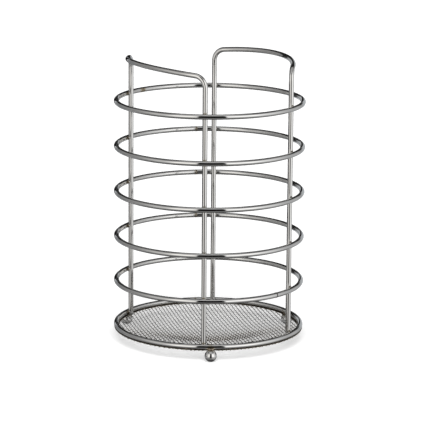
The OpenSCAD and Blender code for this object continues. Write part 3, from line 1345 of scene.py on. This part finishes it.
@dataclass
class Studio:
    """A pale floor, soft light, panels that the metal reflects, and the camera.

    Args:
        distance: level distance from the holder's axis to the camera.
        height: height of the camera.
        focal: focal length in pixels of the picture.
        picture: width of that picture in pixels.
        yaw: turn of the camera round the holder, clockwise seen from above, in degrees.
        pan: turn of the view to the right, in degrees.
        pitch: fall of the view below the horizon, in degrees.
        roll: turn of the camera to the left about its view, in degrees.
        panels: the panels of the light tent, each laid over those before it.
        base_level: brightness of the tent where no panel is.
        tent_radius: radius of the tent.
        tent_rounds: rounds of points between its poles.
        tent_columns: points in one round.
        floor_half: half the width of the floor.
        floor_grey: how much light the floor throws back.
        floor_glow: its own light towards the camera.
        soft: strength of the world as a light, where 1 is white.
        sun_angle: width of the sun, in degrees.
        sun_lean: its angle from straight overhead towards the camera, in degrees.
        sun_level: its light on the floor.
    """

    distance: float = 1.9056
    height: float = 0.52106
    focal: float = 2473.1
    picture: int = 430
    yaw: float = 1.584
    pan: float = 0.142
    pitch: float = 12.498
    roll: float = 0.45
    panels: tuple[Panel, ...] = (
        Panel(0, 180, 90, 22, 0.52, 8, 16),
        Panel(0, 50, 68, 20, 0.60, 40, 20),
        Panel(100, 45, 8, 34, 0.55, 40, 24, -0.2),
        Panel(62, 30, 8, 34, 0.96, 40, 26, -0.1),
        Panel(38, 26, 16, 26, 1.42, 24, 26, 0.1),
        Panel(-90, 60, 10, 34, 0.34, 40, 24),
        Panel(-55, 30, 10, 32, 0.68, 40, 26, 0.2),
        Panel(-30, 18, 16, 26, 1.30, 20, 26, 0.4),
        Panel(-100, 40, -19, 6, 0.50, 20, 6),
        Panel(-105, 35, -9, 4, 0.06, 20, 5),
        Panel(0, 180, -90, 46, 0.08, 8, 18),
        Panel(60, 50, -34, 16, 0.48, 30, 20),
        Panel(-45, 40, -40, 14, 0.30, 30, 20),
        Panel(180, 54, 46, 20, 0.08, 26, 12),
        Panel(180, 34, -8, 26, 0.54, 12, 4, -0.7),
        Panel(180, 34, 41, 23, 0.02, 12, 4),
        Panel(-140, 13, -15, 32, 0.26, 8, 10, -0.6),
        Panel(180, 7.5, 4, 13, 0.01, 3, 4),
        Panel(3, 19, -45, 18, 0.24, 8, 12),
        Panel(3, 17, 13, 39, 0.0, 3, 10),
    )
    base_level: float = 0.2
    tent_radius: float = 3.0
    tent_rounds: int = 179
    tent_columns: int = 360
    floor_half: float = 6.0
    floor_grey: float = 0.75
    floor_glow: float = 0.42
    soft: float = 0.4
    sun_angle: float = 50.0
    sun_lean: float = 42.0
    sun_level: float = 0.6

    def camera(self) -> None:
        """Makes the camera, with its right, up and back directions worked out from the angles."""
        data = bpy.data.cameras.new("camera")
        data.sensor_width = 36.0
        data.lens = self.focal * data.sensor_width / self.picture
        data.clip_start, data.clip_end = 0.05, 50.0
        yaw, pan, pitch, roll = np.radians([self.yaw, self.pan, self.pitch, self.roll])
        heading = yaw + pan
        ahead = np.array([np.sin(heading) * np.cos(pitch), np.cos(heading) * np.cos(pitch), -np.sin(pitch)])
        level = np.array([np.cos(heading), -np.sin(heading), 0.0])
        above = np.cross(level, ahead)
        right = np.cos(roll) * level + np.sin(roll) * above
        up = np.cos(roll) * above - np.sin(roll) * level
        place = [-self.distance * np.sin(yaw), -self.distance * np.cos(yaw), self.height]
        made = bpy.data.objects.new("camera", data)
        rows = [[*row, p] for row, p in zip(np.stack([right, up, -ahead], -1), place)]
        made.matrix_world = Matrix(rows + [[0, 0, 0, 1]])
        bpy.context.scene.collection.objects.link(made)
        bpy.context.scene.camera = made

    def floor(self) -> None:
        """The floor: pale and matt, white to the camera away from the shadow, clear from below."""
        half = self.floor_half
        made = sheet("studio_floor", [[-half, -half, 0], [half, -half, 0], [half, half, 0], [-half, half, 0]])
        tree = plain_tree(made)
        matt = tree.add("ShaderNodeBsdfDiffuse", Color=(*[self.floor_grey] * 3, 1))
        glow = tree.add("ShaderNodeEmission")
        tree.join(tree.maths("MULTIPLY", tree.seen_directly(), self.floor_glow), glow.inputs["Strength"])
        both = tree.add("ShaderNodeAddShader")
        tree.join(matt.outputs[0], both.inputs[0])
        tree.join(glow.outputs[0], both.inputs[1])
        choice = tree.add("ShaderNodeMixShader")
        tree.join(tree.add("ShaderNodeNewGeometry").outputs["Backfacing"], choice.inputs[0])
        tree.join(both.outputs[0], choice.inputs[1])
        tree.join(tree.add("ShaderNodeBsdfTransparent").outputs[0], choice.inputs[2])
        tree.show(choice)
        made.visible_glossy = False

    def tent(self) -> None:
        """The light tent: a ball of panels that only the reflections in the metal show.

        Its brightness at a direction starts at base_level, and each panel in turn moves it to
        (1 - weight) brightness + weight x level. The tint is laid the same way.
        """
        unit, poles = ball(self.tent_rounds, self.tent_columns)
        surface = globes(self.tent_radius * unit[None], self.tent_radius * poles[None])
        p = surface.points / self.tent_radius
        turn = np.degrees(np.arctan2(p[:, 1], p[:, 0])) + 90 + self.yaw
        rise = np.degrees(np.arcsin(np.clip(p[:, 2], -1, 1)))
        level, warmth = np.full(len(p), self.base_level), np.zeros(len(p))
        for panel in self.panels:
            share = panel.weight(turn, rise)
            level = level * (1 - share) + panel.level * share
            warmth = warmth * (1 - share) + panel.warmth * share
        made = make_mesh("light_tent", surface, {"level": level, "tint": (warmth + 1) / 2})
        tree = plain_tree(made)
        glow = tree.add("ShaderNodeEmission")
        tree.join(tree.stored("level"), glow.inputs["Strength"])
        tints = [(0.0, (0.90, 0.95, 1.0)), (0.5, (0.97, 0.97, 0.97)), (1.0, (1.0, 0.96, 0.87))]
        tree.join(tree.ramp(tree.stored("tint"), tints), glow.inputs["Color"])
        tree.show(glow)
        only_reflected(made)

    def flag(self) -> None:
        """A narrow dark flag behind the holder on the left, which only the metal shows."""
        half, low, high = 0.036, -0.25, 0.36
        middle, across = np.array([-0.126, 0.258]), np.array([0.766, 0.643])
        near, far = middle - half * across, middle + half * across
        made = sheet("studio_flag", [[*near, low], [*far, low], [*far, high], [*near, high]])
        tree = plain_tree(made)
        tree.show(tree.add("ShaderNodeBsdfDiffuse", Color=(0.01, 0.01, 0.01, 1)))
        only_reflected(made)

    def light(self) -> None:
        """The world, white where it is seen and softer as a light, and a wide sun overhead."""
        world = bpy.data.worlds.new("studio")
        bpy.context.scene.world = world
        tree = Tree(world)
        back = tree.nodes["Background"].inputs
        back["Color"].default_value = (1, 1, 1, 1)
        extra = tree.maths("MULTIPLY", tree.seen_directly(), 1 - self.soft)
        tree.join(tree.maths("ADD", extra, self.soft), back["Strength"])
        data = bpy.data.lights.new("overhead", "SUN")
        data.angle = np.radians(self.sun_angle)
        lean = np.radians(self.sun_lean)
        data.energy = self.sun_level * np.pi / np.cos(lean)
        lamp = bpy.data.objects.new("overhead", data)
        lamp.location, lamp.rotation_euler = (0.0, -1.0, 1.5), (lean, 0.0, 0.0)
        lamp.visible_glossy = lamp.visible_camera = False
        bpy.context.scene.collection.objects.link(lamp)

    def build(self) -> None:
        """Makes the camera, the floor, the tent, the flag and the lights."""
        self.camera()
        self.floor()
        self.tent()
        self.flag()
        self.light()
        bpy.context.scene.view_settings.view_transform = "Standard"
        log.info("studio ready")


def main() -> None:
    """Builds the holder and its studio."""
    logging.basicConfig(level=logging.INFO, format="%(name)s: %(message)s")
    sizes = Sizes()
    Studio().build()
    WireRings(sizes, PolishedSteel("ring_wire")).build()
    WireArches(sizes, PolishedSteel("arch_wire", colour=(0.72, 0.71, 0.695))).build()
    weld_metal = WeldMetal("weld_metal")
    floor_finishes = {
        # the warp is the same steel as the weft, with its colour darkened as painted shade for the dark lines
        # that it shows
        Weave.WARP: WovenSteel("floor_warp", colour=(0.42, 0.415, 0.40), roughness=0.14),
        Weave.WEFT: WovenSteel("floor_weft"),
    }
    WovenFloor(sizes, floor_finishes, WeldMetal("floor_rim", light=(0.50, 0.46, 0.39))).build()
    BallFeet(sizes, PolishedSteel("ball", colour=(0.72, 0.715, 0.705), roughness=0.06)).build()
    burnt_metal = WeldMetal("burnt_weld", light=(0.07, 0.06, 0.05), dark=(0.015, 0.012, 0.01))
    Welds(sizes, weld_metal, burnt_metal).build()


if __name__ == "__main__":
    main()
